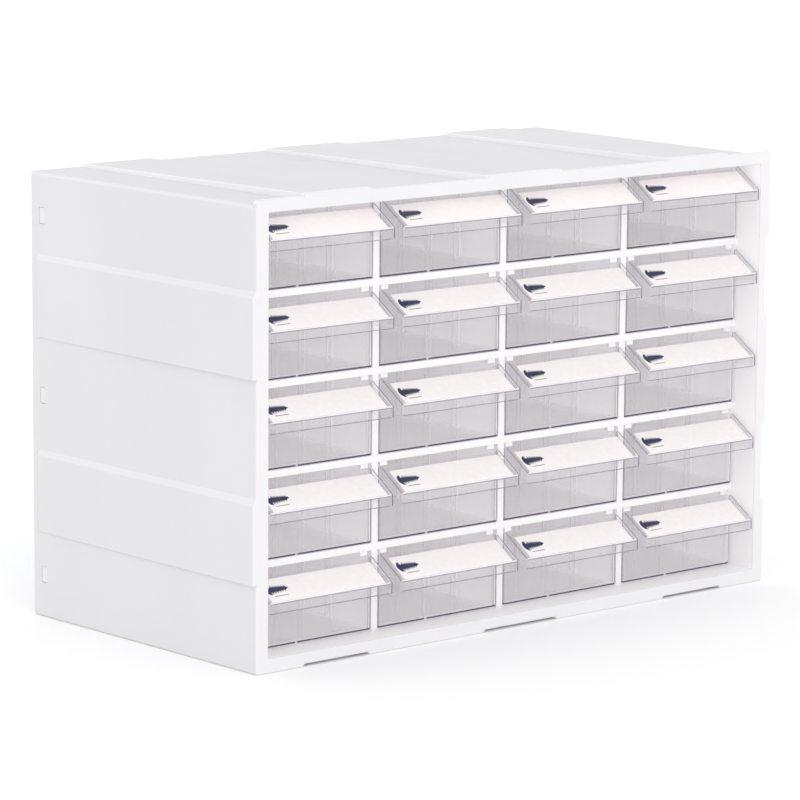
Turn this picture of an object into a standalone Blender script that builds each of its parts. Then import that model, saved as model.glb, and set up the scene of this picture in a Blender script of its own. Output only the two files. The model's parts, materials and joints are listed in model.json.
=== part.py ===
"""Parts organizer: a moulded case with a grid of clear drawers.

The case is a one-piece outer tube whose front stands ahead of the drawer fronts as a
collar. An egg-crate rack of shelves and uprights fills it, and a clip-on cover closes
the back. Each drawer slides out along -Y until the ears on its rear wall meet the stop
blocks that hang behind the front bars. A paper card lies on each drawer's sloping pull.

Metres, +Z up, front towards -Y, origin at the centre of the case's footprint.
"""

import bmesh
import bpy
from mathutils import Matrix, Vector

# Outer case
CASE_WIDTH = 0.439
CASE_DEPTH = 0.226
CASE_HEIGHT = 0.290
SKIN = 0.0028
RIM_DEPTH = 0.004
TOP_STEP = 0.003
FACE_THICKNESS = 0.003
COLLAR_DEPTH = 0.022
COLLAR_SIDE = 0.0093
COLLAR_BOTTOM = 0.0092
COLLAR_WALL = 0.0024

# Grid of bays
COLUMNS = 4
ROWS = 5
BAY_WIDTH = 0.1012
BAY_HEIGHT = 0.0507
COLUMN_BAR = 0.0052
ROW_BAR = 0.0048
COLUMN_PITCH = BAY_WIDTH + COLUMN_BAR
ROW_PITCH = BAY_HEIGHT + ROW_BAR

# Stacking bands on the left and top, and the recesses that take them
BAND_RISE = 0.0026
BAND_RISE_REAR = 0.0010
SIDE_BANDS = ((0.0555, 0.1085), (0.1815, 0.2345))
TAB_RISE = 0.0015
TAB_RISE_REAR = -0.0007
TAB_OFFSETS = (-0.1542, 0.0, 0.1542)
TAB_WIDTHS = (0.053, 0.0626, 0.053)
SIDE_RECESS = 0.003
BOTTOM_RECESS = 0.0018
RECESS_MARGIN = 0.0006
FLOOR_SKIN = 0.0044

# Rack
PLATE = 0.002
BAR_DEPTH = 0.0044
RACK_REAR = 0.2228
HALF_LAP = 0.1246
GAP = 0.0003
STOP_WIDTH = 0.006
STOP_DROP = 0.003
STOP_INSET = 0.0023
STOP_SETBACK = 0.0013
BASE_RIBS = 5

# Back cover and its snap hooks
COVER_FRONT = 0.2231
COVER_REAR = 0.2257
WINDOW_DEPTH_RANGE = (0.2117, 0.2175)
WINDOW_CENTRES = (0.0278, 0.1443, 0.2595)
WINDOW_HEIGHT = 0.0106
HOOK_ARM = 0.0018
HOOK_REACH = 0.0105

# Drawer
DRAWER_WIDTH = 0.100
DRAWER_LENGTH = 0.2008
DRAWER_LOW = 0.0003
DRAWER_HIGH = 0.0474
DRAWER_SIDE = 0.0015
DRAWER_FRONT = 0.002
DRAWER_FLOOR = 0.0016
EAR_LENGTH = 0.003
EAR_HIGH = 0.0502
EAR_LOW = 0.043
EAR_SPAN = (0.0412, 0.0482)
RIB_STATIONS = (0.038, 0.074, 0.110, 0.146)
RIB_SPACING = 0.0044
RIB_WIDTH = 0.0012
RIB_DEPTH = 0.0016
RIB_HEIGHT = 0.040

# Sloping pull with its card
PULL_RUN = 0.021
PULL_DROP = 0.0142
PULL_PLATE = 0.0016
PULL_LIP = 0.0064
PULL_WIDTH = 0.0996
PULL_BORDER = 0.0022
BORDER_RISE = 0.0008
CARD_WIDTH = 0.091
CARD_LENGTH = 0.0198
CARD_THICKNESS = 0.0006
CARD_MIDDLE = 0.0115
EMBED = 0.0005
WELD_DISTANCE = 0.00001

CASE_LEFT = -(CASE_WIDTH - BAND_RISE) / 2
CASE_RIGHT = CASE_LEFT + CASE_WIDTH
CASE_FRONT = -CASE_DEPTH / 2
PANEL_TOP = CASE_HEIGHT - TOP_STEP
FRONT_PLANE = CASE_FRONT + COLLAR_DEPTH
BAYS_LEFT = CASE_LEFT + COLLAR_SIDE
BAYS_RIGHT = CASE_RIGHT - COLLAR_SIDE
BAYS_TOP = COLLAR_BOTTOM + ROWS * ROW_PITCH - ROW_BAR
BAND_CENTRE = (CASE_LEFT - BAND_RISE + CASE_RIGHT) / 2
INNER_LEFT = CASE_LEFT + SKIN
INNER_RIGHT = CASE_RIGHT - SIDE_RECESS - SKIN
POCKET_RIGHT = CASE_RIGHT - SKIN
INNER_TOP = PANEL_TOP - SKIN + 0.0002
BEYOND = 0.01


def clear_scene():
    for item in list(bpy.data.objects):
        bpy.data.objects.remove(item, do_unlink=True)


def new_collection(name):
    collection = bpy.data.collections.new(name)
    bpy.context.scene.collection.children.link(collection)
    return collection


def make_material(name, color, roughness, alpha=1.0):
    material = bpy.data.materials.new(name)
    material.use_nodes = True
    shader = material.node_tree.nodes["Principled BSDF"]
    shader.inputs["Base Color"].default_value = (*color, 1.0)
    shader.inputs["Roughness"].default_value = roughness
    shader.inputs["Metallic"].default_value = 0.0
    shader.inputs["Alpha"].default_value = alpha
    material.diffuse_color = (*color, alpha)
    return material


def box(name, collection, low, high):
    """A box between two corners, its origin at its own centre."""
    low = Vector(low)
    high = Vector(high)
    shape = bmesh.new()
    bmesh.ops.create_cube(shape, size=1.0, matrix=Matrix.Diagonal((*(high - low), 1.0)))
    mesh = bpy.data.meshes.new(name)
    shape.to_mesh(mesh)
    shape.free()
    item = bpy.data.objects.new(name, mesh)
    item.location = (low + high) / 2
    collection.objects.link(item)
    return item


def outline_plate(name, collection, points, x_middle, thickness):
    """A flat plate standing across X: its outline is given as (y, z) points."""
    curve = bpy.data.curves.new(name, "CURVE")
    curve.dimensions = "2D"
    curve.fill_mode = "BOTH"
    curve.extrude = thickness / 2
    spline = curve.splines.new("POLY")
    spline.points.add(len(points) - 1)
    for point, (y, z) in zip(spline.points, points):
        point.co = (y, z, 0.0, 1.0)
    spline.use_cyclic_u = True
    guide = bpy.data.objects.new(name, curve)
    collection.objects.link(guide)
    bpy.context.view_layer.update()
    mesh = bpy.data.meshes.new_from_object(guide.evaluated_get(bpy.context.evaluated_depsgraph_get()))
    bpy.data.objects.remove(guide, do_unlink=True)
    shape = bmesh.new()
    shape.from_mesh(mesh)
    bmesh.ops.remove_doubles(shape, verts=shape.verts, dist=WELD_DISTANCE)
    # The curve lies in its own XY plane: turn that plane into the object's YZ plane.
    stand = Matrix(((0, 0, 1, x_middle), (1, 0, 0, 0), (0, 1, 0, 0), (0, 0, 0, 1)))
    bmesh.ops.transform(shape, matrix=stand, verts=shape.verts)
    bmesh.ops.recalc_face_normals(shape, faces=shape.faces)
    shape.to_mesh(mesh)
    shape.free()
    item = bpy.data.objects.new(name, mesh)
    collection.objects.link(item)
    return item


def guide_collection(name, helpers):
    collection = bpy.data.collections.new(name)
    helpers.children.link(collection)
    return collection


def hide_guides(collection):
    for item in collection.objects:
        item.hide_render = True
        item.display_type = "WIRE"


def combine(item, operation, guides):
    """Joins to or cuts from an object every object of a collection."""
    hide_guides(guides)
    modifier = item.modifiers.new(guides.name, "BOOLEAN")
    modifier.operation = operation
    modifier.operand_type = "COLLECTION"
    modifier.collection = guides
    modifier.solver = "EXACT"
    return modifier


def taper_rear(item, axis, low_side, amount):
    """Moves the rear end of one side of a box, so that the side slopes towards the back."""
    for vertex in item.data.vertices:
        on_side = vertex.co[axis] < 0 if low_side else vertex.co[axis] > 0
        if on_side and vertex.co.y > 0:
            vertex.co[axis] += amount


def bay_left(column):
    return BAYS_LEFT + (column - 1) * COLUMN_PITCH


def bay_floor(row):
    """Rows count down from the top."""
    return COLLAR_BOTTOM + (ROWS - row) * ROW_PITCH


def upright_middle(number):
    return bay_left(number) + BAY_WIDTH + COLUMN_BAR / 2


def plain_zones():
    """The stretches of a side's height that have no band or recess."""
    edges = [0.0]
    for low, high in SIDE_BANDS:
        edges += [low, high]
    edges.append(PANEL_TOP)
    return list(zip(edges[0::2], edges[1::2]))


def tab_ranges():
    ranges = []
    for offset, width in zip(TAB_OFFSETS, TAB_WIDTHS):
        middle = BAND_CENTRE + offset
        ranges.append((middle - width / 2, middle + width / 2))
    return ranges


def add_raised_bands(guides):
    rear = CASE_FRONT + CASE_DEPTH
    rim_low = (CASE_LEFT, CASE_FRONT, 0.0)
    rim_high = (CASE_RIGHT, CASE_FRONT + RIM_DEPTH, CASE_HEIGHT)
    box("rim", guides, rim_low, rim_high)
    for low, high in SIDE_BANDS:
        band = box(
            "side_band",
            guides,
            (CASE_LEFT - BAND_RISE, CASE_FRONT, low),
            (CASE_LEFT + EMBED, rear, high),
        )
        taper_rear(band, 0, True, BAND_RISE - BAND_RISE_REAR)
    for low, high in tab_ranges():
        tab = box(
            "top_tab",
            guides,
            (low, CASE_FRONT, PANEL_TOP - EMBED),
            (high, rear, CASE_HEIGHT + TAB_RISE),
        )
        taper_rear(tab, 2, False, TAB_RISE_REAR - TAB_RISE)


def cut_outside(guides):
    front = CASE_FRONT - BEYOND
    rear = CASE_FRONT + CASE_DEPTH + BEYOND
    for low, high in SIDE_BANDS:
        box(
            "side_recess",
            guides,
            (CASE_RIGHT - SIDE_RECESS, front, low - RECESS_MARGIN),
            (CASE_RIGHT + BEYOND, rear, high + RECESS_MARGIN),
        )
    for low, high in tab_ranges():
        box(
            "bottom_recess",
            guides,
            (low - RECESS_MARGIN, front, -BEYOND),
            (high + RECESS_MARGIN, rear, BOTTOM_RECESS),
        )


def cut_inside(guides):
    rear = CASE_FRONT + CASE_DEPTH + BEYOND
    hollow_front = CASE_FRONT + FACE_THICKNESS
    box("room", guides, (INNER_LEFT, FRONT_PLANE - GAP, FLOOR_SKIN), (INNER_RIGHT, rear, INNER_TOP))
    box(
        "mouth",
        guides,
        (BAYS_LEFT, CASE_FRONT - BEYOND, COLLAR_BOTTOM),
        (BAYS_RIGHT, FRONT_PLANE, BAYS_TOP),
    )
    box(
        "left_hollow",
        guides,
        (INNER_LEFT, hollow_front, FLOOR_SKIN),
        (BAYS_LEFT - COLLAR_WALL, FRONT_PLANE, INNER_TOP),
    )
    box(
        "floor_hollow",
        guides,
        (INNER_LEFT, hollow_front, FLOOR_SKIN),
        (BAYS_RIGHT, FRONT_PLANE, COLLAR_BOTTOM - COLLAR_WALL),
    )
    for low, high in plain_zones():
        box(
            "side_pocket",
            guides,
            (BAYS_RIGHT + COLLAR_WALL, hollow_front, max(low + SKIN, FLOOR_SKIN)),
            (POCKET_RIGHT, rear, min(high - SKIN, INNER_TOP)),
        )
    for low, high in tab_ranges():
        box(
            "tab_pocket",
            guides,
            (low + SKIN, CASE_FRONT + COLLAR_DEPTH, INNER_TOP - EMBED),
            (high - SKIN, rear, CASE_HEIGHT + TAB_RISE_REAR - SKIN),
        )


def cut_windows(guides):
    for middle in WINDOW_CENTRES:
        for low_x, high_x in (
            (CASE_LEFT - BEYOND, INNER_LEFT + EMBED),
            (POCKET_RIGHT - EMBED, CASE_RIGHT + BEYOND),
        ):
            box(
                "snap_window",
                guides,
                (low_x, CASE_FRONT + WINDOW_DEPTH_RANGE[0], middle - WINDOW_HEIGHT / 2),
                (high_x, CASE_FRONT + WINDOW_DEPTH_RANGE[1], middle + WINDOW_HEIGHT / 2),
            )


def make_shell(parts, helpers, material):
    """The outer tube with its collar, stacking bands, recesses and snap windows."""
    shell = box(
        "case_shell",
        parts,
        (CASE_LEFT, CASE_FRONT, 0.0),
        (CASE_RIGHT, CASE_FRONT + CASE_DEPTH, PANEL_TOP),
    )
    raised = guide_collection("shell_raised", helpers)
    add_raised_bands(raised)
    combine(shell, "UNION", raised)
    cuts = guide_collection("shell_cuts", helpers)
    cut_outside(cuts)
    cut_inside(cuts)
    cut_windows(cuts)
    combine(shell, "DIFFERENCE", cuts)
    shell.data.materials.append(material)
    return shell


def add_stops(guides, top, overlap):
    """A pair of stop blocks for each bay, hanging from a bar whose underside is at top."""
    for column in range(1, COLUMNS + 1):
        left = bay_left(column) + STOP_INSET
        right = bay_left(column) + BAY_WIDTH - STOP_INSET - STOP_WIDTH
        for low_x in (left, right):
            box(
                "stop_block",
                guides,
                (low_x, FRONT_PLANE + STOP_SETBACK, top - STOP_DROP),
                (low_x + STOP_WIDTH, FRONT_PLANE + BAR_DEPTH - EMBED / 2, top + overlap),
            )


def make_shelf(row, parts, helpers, material):
    """The shelf under one row: a plate, a front bar with stop blocks, and front slots."""
    top = bay_floor(row)
    rear = CASE_FRONT + RACK_REAR
    left = BAYS_LEFT + GAP
    right = BAYS_RIGHT - GAP
    shelf = box(f"shelf_{row}", parts, (left, FRONT_PLANE + EMBED, top - PLATE), (right, rear, top))
    raised = guide_collection(f"shelf_{row}_bar", helpers)
    box(
        "bar",
        raised,
        (left, FRONT_PLANE, top - ROW_BAR),
        (right, FRONT_PLANE + BAR_DEPTH, top),
    )
    add_stops(raised, top - ROW_BAR, EMBED)
    combine(shelf, "UNION", raised)
    slots = guide_collection(f"shelf_{row}_slots", helpers)
    for number in range(1, COLUMNS):
        middle = upright_middle(number)
        bar_half = COLUMN_BAR / 2 + GAP
        slot_half = PLATE / 2 + GAP
        front = FRONT_PLANE - BEYOND
        box(
            "bar_notch",
            slots,
            (middle - bar_half, front, top - BEYOND),
            (middle + bar_half, FRONT_PLANE + BAR_DEPTH + GAP, top + BEYOND),
        )
        box(
            "slot",
            slots,
            (middle - slot_half, front, top - BEYOND),
            (middle + slot_half, CASE_FRONT + HALF_LAP, top + BEYOND),
        )
    combine(shelf, "DIFFERENCE", slots)
    shelf.data.materials.append(material)
    return shelf


def make_upright(number, parts, helpers, material):
    """A column divider: a plate with a front bar, slotted from the rear for the shelves."""
    middle = upright_middle(number)
    low = COLLAR_BOTTOM + GAP
    high = BAYS_TOP - GAP
    rear = CASE_FRONT + RACK_REAR
    upright = box(
        f"upright_{number}",
        parts,
        (middle - PLATE / 2, FRONT_PLANE + EMBED, low),
        (middle + PLATE / 2, rear, high),
    )
    raised = guide_collection(f"upright_{number}_bar", helpers)
    box(
        "bar",
        raised,
        (middle - COLUMN_BAR / 2, FRONT_PLANE, low),
        (middle + COLUMN_BAR / 2, FRONT_PLANE + BAR_DEPTH, high),
    )
    combine(upright, "UNION", raised)
    slots = guide_collection(f"upright_{number}_slots", helpers)
    for row in range(1, ROWS):
        top = bay_floor(row)
        box(
            "slot",
            slots,
            (middle - BEYOND, CASE_FRONT + HALF_LAP - GAP, top - PLATE - GAP),
            (middle + BEYOND, rear + BEYOND, top + GAP),
        )
    combine(upright, "DIFFERENCE", slots)
    upright.data.materials.append(material)
    return upright


def make_side_panels(parts, material):
    """Smooth panels that guide the outermost drawers, one inside each side of the shell."""
    low = COLLAR_BOTTOM - PLATE
    high = BAYS_TOP - GAP
    rear = CASE_FRONT + RACK_REAR
    for name, inner in (("side_panel_left", BAYS_LEFT), ("side_panel_right", BAYS_RIGHT + PLATE)):
        panel = box(name, parts, (inner - PLATE, FRONT_PLANE + GAP, low), (inner, rear, high))
        panel.data.materials.append(material)


def make_base_shelf(parts, helpers, material):
    """The floor of the lowest row, on ribs that rest on the shell's floor."""
    left = BAYS_LEFT + GAP
    right = BAYS_RIGHT - GAP
    front = FRONT_PLANE + GAP
    rear = CASE_FRONT + RACK_REAR
    top = COLLAR_BOTTOM
    shelf = box("base_shelf", parts, (left, front, top - PLATE), (right, rear, top))
    ribs = guide_collection("base_shelf_ribs", helpers)
    spacing = (right - left - 4 * PLATE) / (BASE_RIBS - 1)
    for index in range(BASE_RIBS):
        middle = left + 2 * PLATE + index * spacing
        box(
            "rib",
            ribs,
            (middle - PLATE / 2, front + PLATE, FLOOR_SKIN + GAP),
            (middle + PLATE / 2, rear - PLATE, top - PLATE + EMBED),
        )
    combine(shelf, "UNION", ribs)
    shelf.data.materials.append(material)
    return shelf


def make_stop_rail(parts, helpers, material):
    """The rail behind the collar's top edge, with the top row's stop blocks."""
    front = FRONT_PLANE + GAP
    rail = box(
        "top_stop_rail",
        parts,
        (BAYS_LEFT + GAP, front, BAYS_TOP),
        (BAYS_RIGHT - GAP, FRONT_PLANE + BAR_DEPTH, INNER_TOP - GAP),
    )
    stops = guide_collection("rail_stops", helpers)
    add_stops(stops, BAYS_TOP, EMBED)
    combine(rail, "UNION", stops)
    rail.data.materials.append(material)
    return rail


def add_cover_edges(guides):
    """Stretches of the cover that fill the rear ends of the side and tab pockets."""
    front = CASE_FRONT + COVER_FRONT
    rear = CASE_FRONT + COVER_REAR
    for low, high in plain_zones():
        box(
            "side_fill",
            guides,
            (INNER_RIGHT - BEYOND, front, max(low + SKIN, FLOOR_SKIN) + GAP),
            (POCKET_RIGHT - GAP, rear, min(high - SKIN, INNER_TOP) - GAP),
        )
    for low, high in tab_ranges():
        box(
            "tab_fill",
            guides,
            (low + SKIN + GAP, front, INNER_TOP - BEYOND),
            (high - SKIN - GAP, rear, CASE_HEIGHT + TAB_RISE_REAR - SKIN - GAP),
        )


def add_hooks(guides):
    """Arms that reach forward inside the shell, with heads that snap into its windows."""
    front = CASE_FRONT + COVER_FRONT
    head_front = CASE_FRONT + WINDOW_DEPTH_RANGE[0] + GAP
    head_rear = CASE_FRONT + WINDOW_DEPTH_RANGE[1] - GAP
    arm_half = WINDOW_HEIGHT / 2 - 2 * GAP
    head_half = WINDOW_HEIGHT / 2 - GAP
    head_out = SKIN - 3 * GAP
    for middle in WINDOW_CENTRES:
        for face, side in ((INNER_LEFT + GAP, 1), (POCKET_RIGHT - GAP, -1)):
            arm_x = sorted((face, face + side * HOOK_ARM))
            head_x = sorted((face - side * head_out, face + side * EMBED))
            box(
                "hook_arm",
                guides,
                (arm_x[0], front - HOOK_REACH, middle - arm_half),
                (arm_x[1], front + EMBED, middle + arm_half),
            )
            box(
                "hook_head",
                guides,
                (head_x[0], head_front, middle - head_half),
                (head_x[1], head_rear, middle + head_half),
            )


def make_back_cover(parts, helpers, material):
    cover = box(
        "back_cover",
        parts,
        (INNER_LEFT + GAP, CASE_FRONT + COVER_FRONT, FLOOR_SKIN + GAP),
        (INNER_RIGHT - GAP, CASE_FRONT + COVER_REAR, INNER_TOP - GAP),
    )
    edges = guide_collection("cover_edges", helpers)
    add_cover_edges(edges)
    combine(cover, "UNION", edges)
    hooks = guide_collection("cover_hooks", helpers)
    add_hooks(hooks)
    combine(cover, "UNION", hooks)
    cover.data.materials.append(material)
    return cover


def pull_top(run):
    """Height of the sloping pull's top face at a distance ahead of the drawer's front."""
    return DRAWER_HIGH - PULL_DROP * run / PULL_RUN


def add_pull(guides):
    """The sloping plate, its front lip, and an end plate with a raised border each side."""
    lip_low = pull_top(PULL_RUN) - PULL_LIP
    inside = DRAWER_FRONT - EMBED
    plate = (
        (inside, pull_top(0)),
        (0.0, pull_top(0)),
        (-PULL_RUN + EMBED, pull_top(PULL_RUN - EMBED)),
        (-PULL_RUN + EMBED, pull_top(PULL_RUN - EMBED) - PULL_PLATE),
        (0.0, pull_top(0) - PULL_PLATE),
        (inside, pull_top(0) - PULL_PLATE),
    )
    outline_plate("pull_plate", guides, plate, 0.0, PULL_WIDTH - PULL_BORDER)
    box(
        "pull_lip",
        guides,
        (-(PULL_WIDTH - PULL_BORDER) / 2, -PULL_RUN, lip_low),
        ((PULL_WIDTH - PULL_BORDER) / 2, -PULL_RUN + PULL_PLATE, pull_top(PULL_RUN) + BORDER_RISE),
    )
    end = (
        (inside, pull_top(0) - BORDER_RISE),
        (-BORDER_RISE, pull_top(0)),
        (-2 * BORDER_RISE, pull_top(2 * BORDER_RISE) + BORDER_RISE),
        (-PULL_RUN, pull_top(PULL_RUN) + BORDER_RISE),
        (-PULL_RUN, lip_low),
        (inside, lip_low),
    )
    for side in (-1, 1):
        middle = side * (PULL_WIDTH - PULL_BORDER) / 2
        outline_plate("pull_end", guides, end, middle, PULL_BORDER)


def add_ribs(guides):
    """Pairs of upright ribs on both side walls, which hold loose cross dividers."""
    wall = DRAWER_WIDTH / 2 - DRAWER_SIDE
    floor = DRAWER_LOW + DRAWER_FLOOR
    for station in RIB_STATIONS:
        for shift in (-RIB_SPACING / 2, RIB_SPACING / 2):
            for side in (-1, 1):
                span = sorted((side * (wall - RIB_DEPTH), side * (wall + EMBED)))
                box(
                    "rib",
                    guides,
                    (span[0], station + shift - RIB_WIDTH / 2, floor - EMBED),
                    (span[1], station + shift + RIB_WIDTH / 2, floor + RIB_HEIGHT),
                )


def add_ears(guides):
    """Ears on the rear wall, which meet the stop blocks when the drawer is pulled out."""
    for side in (-1, 1):
        span = sorted((side * EAR_SPAN[0], side * EAR_SPAN[1]))
        box(
            "ear",
            guides,
            (span[0], DRAWER_LENGTH - EAR_LENGTH, EAR_LOW),
            (span[1], DRAWER_LENGTH - EMBED / 2, EAR_HIGH),
        )


def make_drawer_mesh(helpers):
    """One tray, with its origin at the bottom middle of its front."""
    low = (-DRAWER_WIDTH / 2, 0.0, DRAWER_LOW)
    high = (DRAWER_WIDTH / 2, DRAWER_LENGTH, DRAWER_HIGH)
    tray = box("tray_blank", helpers, low, high)
    tray.data.transform(Matrix.Translation(tray.location))
    tray.location = (0.0, 0.0, 0.0)
    hollow = guide_collection("tray_hollow", helpers)
    box(
        "hollow",
        hollow,
        (low[0] + DRAWER_SIDE, DRAWER_FRONT, DRAWER_LOW + DRAWER_FLOOR),
        (high[0] - DRAWER_SIDE, DRAWER_LENGTH - DRAWER_SIDE, DRAWER_HIGH + BEYOND),
    )
    combine(tray, "DIFFERENCE", hollow)
    details = guide_collection("tray_details", helpers)
    add_ribs(details)
    add_ears(details)
    add_pull(details)
    combine(tray, "UNION", details)
    bpy.context.view_layer.update()
    mesh = bpy.data.meshes.new_from_object(tray.evaluated_get(bpy.context.evaluated_depsgraph_get()))
    mesh.name = "drawer"
    for item in [tray, *hollow.objects, *details.objects]:
        bpy.data.objects.remove(item, do_unlink=True)
    return mesh


def make_card_mesh():
    """A card lying on the sloping pull, in the drawer's own frame."""
    slope = Vector((0.0, -PULL_RUN, -PULL_DROP)).normalized()
    across = Vector((1.0, 0.0, 0.0))
    upward = slope.cross(across)
    centre = Vector((0.0, -CARD_MIDDLE, pull_top(CARD_MIDDLE)))
    centre += upward * (GAP + CARD_THICKNESS / 2)
    turn = Matrix((across, slope, upward)).transposed().to_4x4()
    size = Matrix.Diagonal((CARD_WIDTH, CARD_LENGTH, CARD_THICKNESS, 1.0))
    shape = bmesh.new()
    bmesh.ops.create_cube(shape, size=1.0, matrix=Matrix.Translation(centre) @ turn @ size)
    bmesh.ops.recalc_face_normals(shape, faces=shape.faces)
    mesh = bpy.data.meshes.new("label_card")
    shape.to_mesh(mesh)
    shape.free()
    return mesh


def place_drawers(parts, helpers, clear_plastic, paper):
    drawer_mesh = make_drawer_mesh(helpers)
    drawer_mesh.materials.append(clear_plastic)
    card_mesh = make_card_mesh()
    card_mesh.materials.append(paper)
    for row in range(1, ROWS + 1):
        for column in range(1, COLUMNS + 1):
            slide = bpy.data.objects.new(f"slide_r{row}_c{column}", None)
            slide.location = (bay_left(column) + BAY_WIDTH / 2, FRONT_PLANE, bay_floor(row))
            parts.objects.link(slide)
            for name, mesh in (("drawer", drawer_mesh), ("label_card", card_mesh)):
                item = bpy.data.objects.new(f"{name}_r{row}_c{column}", mesh)
                item.parent = slide
                parts.objects.link(item)


def main():
    clear_scene()
    parts = new_collection("parts_organizer")
    helpers = new_collection("guides")
    shell_plastic = make_material("shell_plastic", (0.86, 0.86, 0.87), 0.45)
    rack_plastic = make_material("rack_plastic", (0.90, 0.90, 0.91), 0.40)
    clear_plastic = make_material("clear_plastic", (0.80, 0.80, 0.84), 0.10, 0.35)
    paper = make_material("paper", (0.92, 0.90, 0.88), 0.80)
    make_shell(parts, helpers, shell_plastic)
    for row in range(1, ROWS):
        make_shelf(row, parts, helpers, rack_plastic)
    for number in range(1, COLUMNS):
        make_upright(number, parts, helpers, rack_plastic)
    make_side_panels(parts, rack_plastic)
    make_base_shelf(parts, helpers, rack_plastic)
    make_stop_rail(parts, helpers, rack_plastic)
    make_back_cover(parts, helpers, shell_plastic)
    place_drawers(parts, helpers, clear_plastic, paper)


main()
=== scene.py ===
"""Looks of the parts organizer: moulded white case, clear drawers and paper label cards.

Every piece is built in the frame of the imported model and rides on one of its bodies.
"""

import json
import math

import bmesh
import bpy
from mathutils import Matrix, Vector

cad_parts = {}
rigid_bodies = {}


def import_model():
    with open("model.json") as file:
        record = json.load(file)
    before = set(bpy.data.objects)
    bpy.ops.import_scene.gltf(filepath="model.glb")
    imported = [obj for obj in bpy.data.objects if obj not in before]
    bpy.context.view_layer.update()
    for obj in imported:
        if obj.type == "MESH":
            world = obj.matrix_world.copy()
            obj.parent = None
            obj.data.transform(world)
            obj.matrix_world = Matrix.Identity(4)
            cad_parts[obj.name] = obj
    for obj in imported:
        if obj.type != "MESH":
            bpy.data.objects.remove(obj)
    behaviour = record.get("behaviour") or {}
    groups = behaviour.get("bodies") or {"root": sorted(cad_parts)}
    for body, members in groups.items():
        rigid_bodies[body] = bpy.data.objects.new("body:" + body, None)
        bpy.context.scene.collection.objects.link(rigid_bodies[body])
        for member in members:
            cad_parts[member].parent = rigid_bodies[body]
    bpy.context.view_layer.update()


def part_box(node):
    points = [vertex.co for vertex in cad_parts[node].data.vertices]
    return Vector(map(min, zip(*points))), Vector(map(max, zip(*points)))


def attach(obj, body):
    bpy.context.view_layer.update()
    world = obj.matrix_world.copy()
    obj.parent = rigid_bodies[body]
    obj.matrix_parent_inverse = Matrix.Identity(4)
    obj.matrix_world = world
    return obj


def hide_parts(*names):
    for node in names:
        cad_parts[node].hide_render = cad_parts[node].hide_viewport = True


MM = 0.001
ROWS = 5
COLUMNS = 4

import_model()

SHELL_LOW, SHELL_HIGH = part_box("case_shell")
UPRIGHTS = [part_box(f"upright_{number}") for number in range(1, COLUMNS)]
SHELVES = [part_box(f"shelf_{row}") for row in range(1, ROWS)]
LEFT_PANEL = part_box("side_panel_left")
RIGHT_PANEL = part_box("side_panel_right")
BASE_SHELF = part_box("base_shelf")
STOP_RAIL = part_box("top_stop_rail")
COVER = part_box("back_cover")

FRONT = SHELL_LOW.y
REAR = SHELL_HIGH.y
BAYS_LEFT = LEFT_PANEL[1].x
BAYS_RIGHT = RIGHT_PANEL[0].x
BAYS_BOTTOM = BASE_SHELF[1].z
BAYS_TOP = LEFT_PANEL[1].z + 0.3 * MM
LATTICE = SHELVES[0][0].y
BAR_REAR = LATTICE + 4.4 * MM
RACK_REAR = SHELVES[0][1].y
COLLAR_SIDE = 9.3 * MM
CASE_LEFT = BAYS_LEFT - COLLAR_SIDE
CASE_RIGHT = BAYS_RIGHT + COLLAR_SIDE
TAB_FRONT_TOP = SHELL_HIGH.z
RIM_TOP = TAB_FRONT_TOP - 1.5 * MM
PANEL_TOP = RIM_TOP - 3.0 * MM
TAB_REAR_TOP = RIM_TOP - 0.7 * MM
BAND_FRONT = CASE_LEFT - SHELL_LOW.x
BAND_REAR = 1.0 * MM
BANDS_END = 220.4 * MM
SIDE_BANDS = ((55.5 * MM, 108.5 * MM), (181.5 * MM, 234.5 * MM))
TABS = (
    (-180.7 * MM, -127.7 * MM),
    (-31.3 * MM, 31.3 * MM),
    (127.7 * MM, 180.7 * MM),
)
WINDOWS = (27.8 * MM, 144.3 * MM, 259.5 * MM)
WINDOW_Y = (FRONT + 211.7 * MM, FRONT + 217.5 * MM)
WINDOW_HALF = 5.3 * MM
SKIN = 2.8 * MM
BAR_DROP = 4.8 * MM
PLATE = 2.0 * MM
STOP_INSET = 2.3 * MM
STOP_WIDTH = 6.0 * MM
STOP_DROP = 3.0 * MM
DRAWER_HALF = 50.0 * MM
DRAWER_LENGTH = 200.8 * MM
DRAWER_TOP = 47.4 * MM
DRAWER_LOW = 0.3 * MM
PULL_RUN = 21.0 * MM
PULL_FALL = 14.2 * MM
PULL_LIP = 6.4 * MM
PULL_HALF = 49.8 * MM
PULL_BORDER = 1.5 * MM
# Sizes of the painted shade lines and painted highlights on the drawer front and the pull's borders.
EDGE_LINE = 1.1 * MM
EDGE_BREAK = (-11.5 * MM, -9.5 * MM)
SIDE_LINE = 0.8 * MM
BORDER_SPLIT = PULL_HALF - 0.75 * MM
CARD_RUN = 12.3 * MM
CARD_LENGTH = 91.0 * MM
CARD_HALF = 9.9 * MM
CARD_THICK = 0.35 * MM
CARD_STRIPS = 24
CARD_BOW = 0.25 * MM
INK_THICK = 0.02 * MM
INK_SINK = 0.005 * MM
TRAY_WALL = 1.5 * MM
TRAY_FRONT = 2.0 * MM
TRAY_FLOOR = DRAWER_LOW + 1.6 * MM
RIB_STATIONS = (38.0, 65.0, 92.0, 119.0, 146.0)
RIB_SHIFT = 2.2
RIB_DEPTH = 1.6 * MM
RIB_HALF = 0.6 * MM
RIB_HEIGHT = 40.0 * MM
RIB_ZONE = (30.0 * MM, 160.0 * MM)
EAR_SPAN = (41.2 * MM, 48.2 * MM)
EAR_LENGTH = 3.0 * MM
EAR_HEIGHTS = (43.0 * MM, 50.2 * MM)
# Sizes of the painted highlight and the painted grey shade lines along the pull's lip.
LIP_CREST = 0.2 * MM
LIP_UNDER = 0.6 * MM
LIP_FOOT = 0.35 * MM
RECESS = 3.0 * MM
COVER_GAP = 0.3 * MM
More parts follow.
